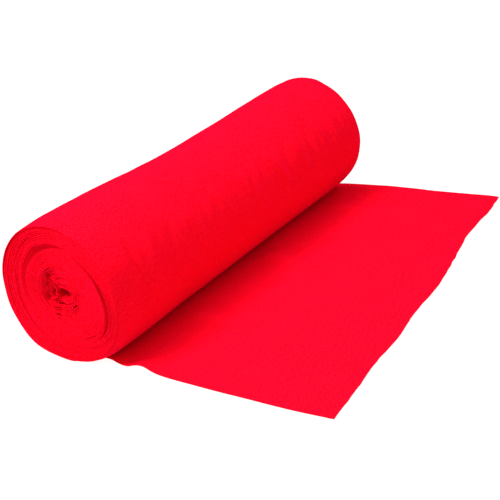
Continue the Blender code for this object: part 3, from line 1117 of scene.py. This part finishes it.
class FLANNEL_OT_outer_turn(bpy.types.Operator):
    """Wind the outer turn, on from the loose end at the nip"""

    bl_idname = "flannel.outer_turn"
    bl_label = "Outer turn"

    def execute(self, context):
        cloth = context.scene.flannel_cloth
        width = FAR_Y - NEAR_Y
        columns = np.linspace(0, 1, int(width / cloth.pucker_step) + 1)
        shares, depths, bulge = sheet_profile(list(columns), NAP_EDGE / width)
        around = 2 * math.pi * ROLL_RADIUS * OUTER_TURNS
        turns = np.linspace(0, OUTER_TURNS, int(around / cloth.around_step) + 1)[:, None]
        points, runs = wound_points(turns, (shares + bulge)[None, :], depths[None, :], cloth)
        mesh = loft_mesh("outer_turn", points, runs, shares, width)
        piece = add_piece("outer_turn", mesh, flannel_material(context.scene.flannel_finish))
        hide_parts("wound_roll")
        length = winding_length(0, OUTER_TURNS, cloth)
        return {"FINISHED"}


class FLANNEL_OT_studio(bpy.types.Operator):
    """Set the camera, the pale floor and the soft light"""

    bl_idname = "flannel.studio"
    bl_label = "Studio"

    def execute(self, context):
        studio = context.scene.flannel_studio
        self.set_camera(context, studio)
        self.lay_floor(context, studio)
        self.hang_lights(context, studio)
        return {"FINISHED"}

    def set_camera(self, context, studio):
        azimuth, elevation = CAMERA_AZIMUTH, CAMERA_ELEVATION
        back = Vector((math.sin(azimuth) * math.cos(elevation),
                       -math.cos(azimuth) * math.cos(elevation), math.sin(elevation)))
        level_right = Vector((math.cos(azimuth), math.sin(azimuth), 0.0))
        level_up = back.cross(level_right)
        right = level_right * math.cos(CAMERA_TILT) + level_up * math.sin(CAMERA_TILT)
        up = level_up * math.cos(CAMERA_TILT) - level_right * math.sin(CAMERA_TILT)
        place = back * CAMERA_DISTANCE + level_right * CAMERA_RIGHT + level_up * CAMERA_UP
        lens = bpy.data.cameras.new("Camera")
        lens.lens = studio.focal_length
        lens.sensor_width = SENSOR_WIDTH
        camera = bpy.data.objects.new("Camera", lens)
        turned = Matrix((right, up, back)).transposed().to_4x4()
        camera.matrix_world = Matrix.Translation(place) @ turned
        context.scene.collection.objects.link(camera)
        context.scene.camera = camera

    def lay_floor(self, context, studio):
        material = bpy.data.materials.new("Studio floor")
        material.use_nodes = True
        shader = material.node_tree.nodes["Principled BSDF"]
        shader.inputs["Base Color"].default_value = (*studio.floor_colour, 1)
        shader.inputs["Roughness"].default_value = 1.0
        shader.inputs["Specular IOR Level"].default_value = 0.0
        shader.inputs["Emission Color"].default_value = (1, 1, 1, 1)
        shader.inputs["Emission Strength"].default_value = FLOOR_GLOW
        half = studio.floor_size / 2
        mesh = bpy.data.meshes.new("studio_floor")
        corners = [(-half, -half, 0), (half, -half, 0), (half, half, 0), (-half, half, 0)]
        mesh.from_pydata(corners, [], [(0, 1, 2, 3)])
        floor = bpy.data.objects.new("studio_floor", mesh)
        floor.location.z = CAD_BOX[0][2] - FLOOR_BELOW
        mesh.materials.append(material)
        context.scene.collection.objects.link(floor)

    def hang_lights(self, context, studio):
        for name, place, aim, size, power in LIGHTS:
            lamp = bpy.data.lights.new(name, "AREA")
            lamp.shape = "RECTANGLE"
            lamp.size, lamp.size_y = size
            lamp.energy = getattr(studio, power)
            light = bpy.data.objects.new(name, lamp)
            light.location = place
            back = Vector(place) - Vector(aim)
            light.rotation_euler = back.to_track_quat("Z", "Y").to_euler()
            context.scene.collection.objects.link(light)
        world = bpy.data.worlds.new("White room")
        world.use_nodes = True
        background = world.node_tree.nodes["Background"]
        background.inputs["Color"].default_value = (1, 1, 1, 1)
        background.inputs["Strength"].default_value = studio.room_light
        context.scene.world = world
        context.scene.view_settings.view_transform = "Standard"


class FLANNEL_PT_panel(bpy.types.Panel):
    """The flannel roll's pieces and sizes in the 3D view's sidebar"""

    bl_idname = "FLANNEL_PT_panel"
    bl_label = "Flannel Roll"
    bl_space_type = "VIEW_3D"
    bl_region_type = "UI"
    bl_category = "Flannel Roll"

    def draw(self, context):
        scene = context.scene
        for settings in (scene.flannel_cloth, scene.flannel_finish, scene.flannel_studio):
            box = self.layout.box()
            for name in settings.bl_rna.properties.keys():
                if name not in {"rna_type", "name"}:
                    box.prop(settings, name)
        for operator in OPERATORS:
            self.layout.operator(operator.bl_idname)


OPERATORS = (FLANNEL_OT_studio, FLANNEL_OT_loose_end, FLANNEL_OT_outer_turn, FLANNEL_OT_slack_turns,
             FLANNEL_OT_core_turns)
CLASSES = (FLANNEL_PG_cloth, FLANNEL_PG_finish, FLANNEL_PG_studio, *OPERATORS, FLANNEL_PT_panel)


def register():
    for cls in CLASSES:
        bpy.utils.register_class(cls)
    bpy.types.Scene.flannel_cloth = PointerProperty(type=FLANNEL_PG_cloth)
    bpy.types.Scene.flannel_finish = PointerProperty(type=FLANNEL_PG_finish)
    bpy.types.Scene.flannel_studio = PointerProperty(type=FLANNEL_PG_studio)


def unregister():
    del bpy.types.Scene.flannel_studio
    del bpy.types.Scene.flannel_finish
    del bpy.types.Scene.flannel_cloth
    for cls in reversed(CLASSES):
        bpy.utils.unregister_class(cls)


def main():
    """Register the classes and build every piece."""
    register()
    bpy.ops.flannel.studio()
    bpy.ops.flannel.loose_end()
    bpy.ops.flannel.outer_turn()
    bpy.ops.flannel.slack_turns()
    bpy.ops.flannel.core_turns()


if __name__ == "__main__":
    main()
